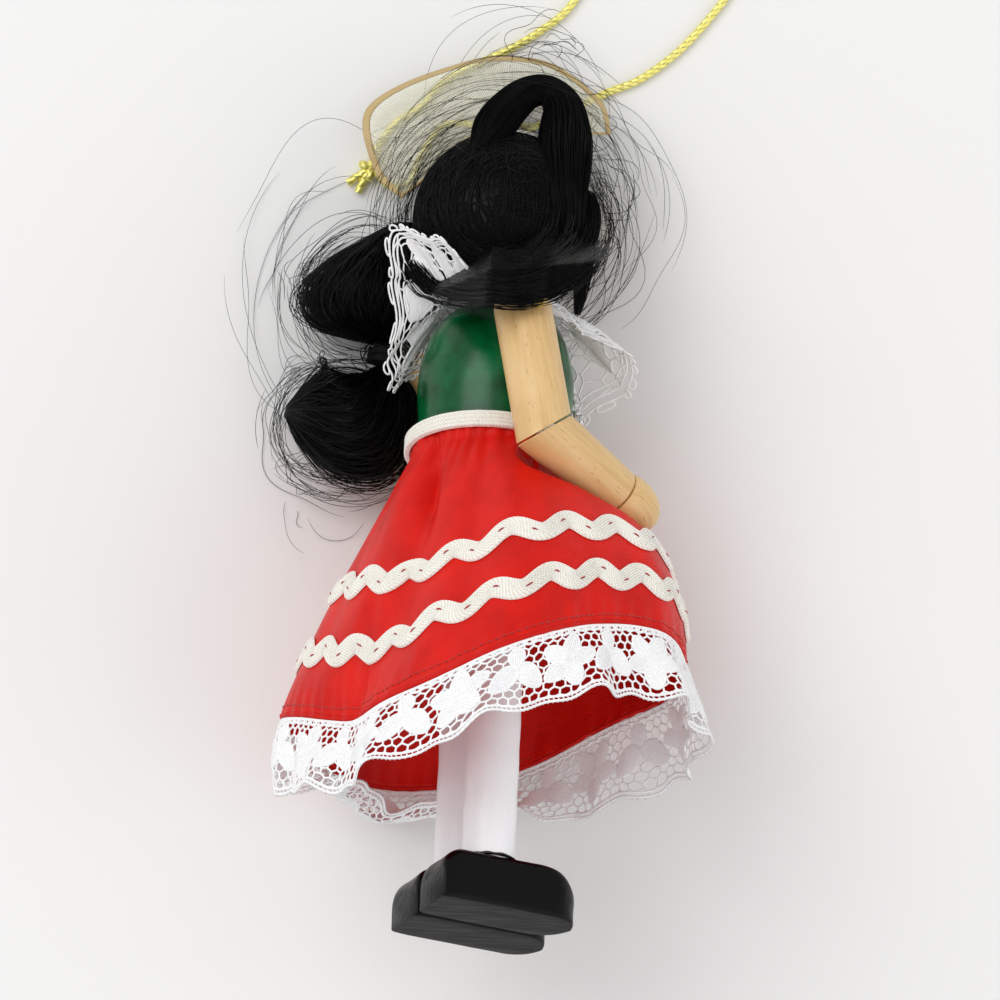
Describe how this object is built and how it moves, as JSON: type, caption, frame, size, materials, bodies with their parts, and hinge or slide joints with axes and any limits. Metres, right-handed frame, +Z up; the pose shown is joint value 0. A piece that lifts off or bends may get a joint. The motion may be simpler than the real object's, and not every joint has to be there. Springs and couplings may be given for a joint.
{
  "type": "wooden doll ornament",
  "caption": "Small turned wooden girl doll in a satin skirt with lace and braid, hair, hinged dowel arms and a gold hanging cord, lying on its side.",
  "frame": {"origin": "centre of the box of the lying doll, on the surface it lies on, without its hanging cord", "axes": "+Z up; +Y from the feet to the head; +X towards the doll's front. The doll lies on its left side, its front turned 24 degrees down and its feet raised 12 degrees by the skirt"},
  "size_m": [0.0694, 0.1636, 0.0673],
  "materials": {
    "green_paint": "gloss dark green paint on turned wood",
    "white_paint": "satin white paint on dowel",
    "black_paint": "gloss black paint on wood",
    "bare_wood": "pale close-grained wood, thin clear coat",
    "black_hair": "fine glossy black doll hair",
    "black_thread": "wound sewing thread",
    "red_satin": "woven red satin",
    "cream_braid": "flat woven cotton braid",
    "white_lace": "machine-made net lace",
    "sheer_ribbon": "sheer ribbon with a woven gold edge",
    "brass": "bright drawn wire",
    "gold_cord": "twisted metallic thread"
  },
  "bodies": {
    "root": {"torso": "green_paint", "head": "bare_wood", "neck_dowel": "bare_wood", "right_leg": "white_paint", "left_leg": "white_paint", "right_shoe": "black_paint", "left_shoe": "black_paint", "right_shoulder_pin": "brass", "left_shoulder_pin": "brass", "screw_eye": "brass", "hair_cap": "black_hair", "crown_loop": "black_hair", "right_face_lock": "black_hair", "left_face_lock": "black_hair", "tail_upper": "black_hair", "tail_lower": "black_hair", "tail_tie": "black_thread", "skirt": "red_satin", "waistband": "cream_braid", "rick_rack_upper": "cream_braid", "rick_rack_lower": "cream_braid", "lace_hem": "white_lace", "lace_collar": "white_lace", "head_ribbon": "sheer_ribbon", "hanging_cord": "gold_cord", "cord_return": "gold_cord", "cord_knot": "gold_cord"},
    "right_arm": {"right_upper_arm": "bare_wood", "right_forearm": "bare_wood", "right_hand": "bare_wood"},
    "left_arm": {"left_upper_arm": "bare_wood", "left_forearm": "bare_wood", "left_hand": "bare_wood"}
  },
  "joints": [
    {"name": "right_shoulder", "type": "hinge", "parent": "root", "child": "right_arm", "pos_m": [0.00326, 0.026, 0.03253], "axis": [0.4067, 0.1899, 0.8936], "range_deg": [0, 100]},
    {"name": "left_shoulder", "type": "hinge", "parent": "root", "child": "left_arm", "pos_m": [-0.00911, 0.02022, 0.00537], "axis": [0.4067, 0.1899, 0.8936], "range_deg": [0, 100]}
  ]
}
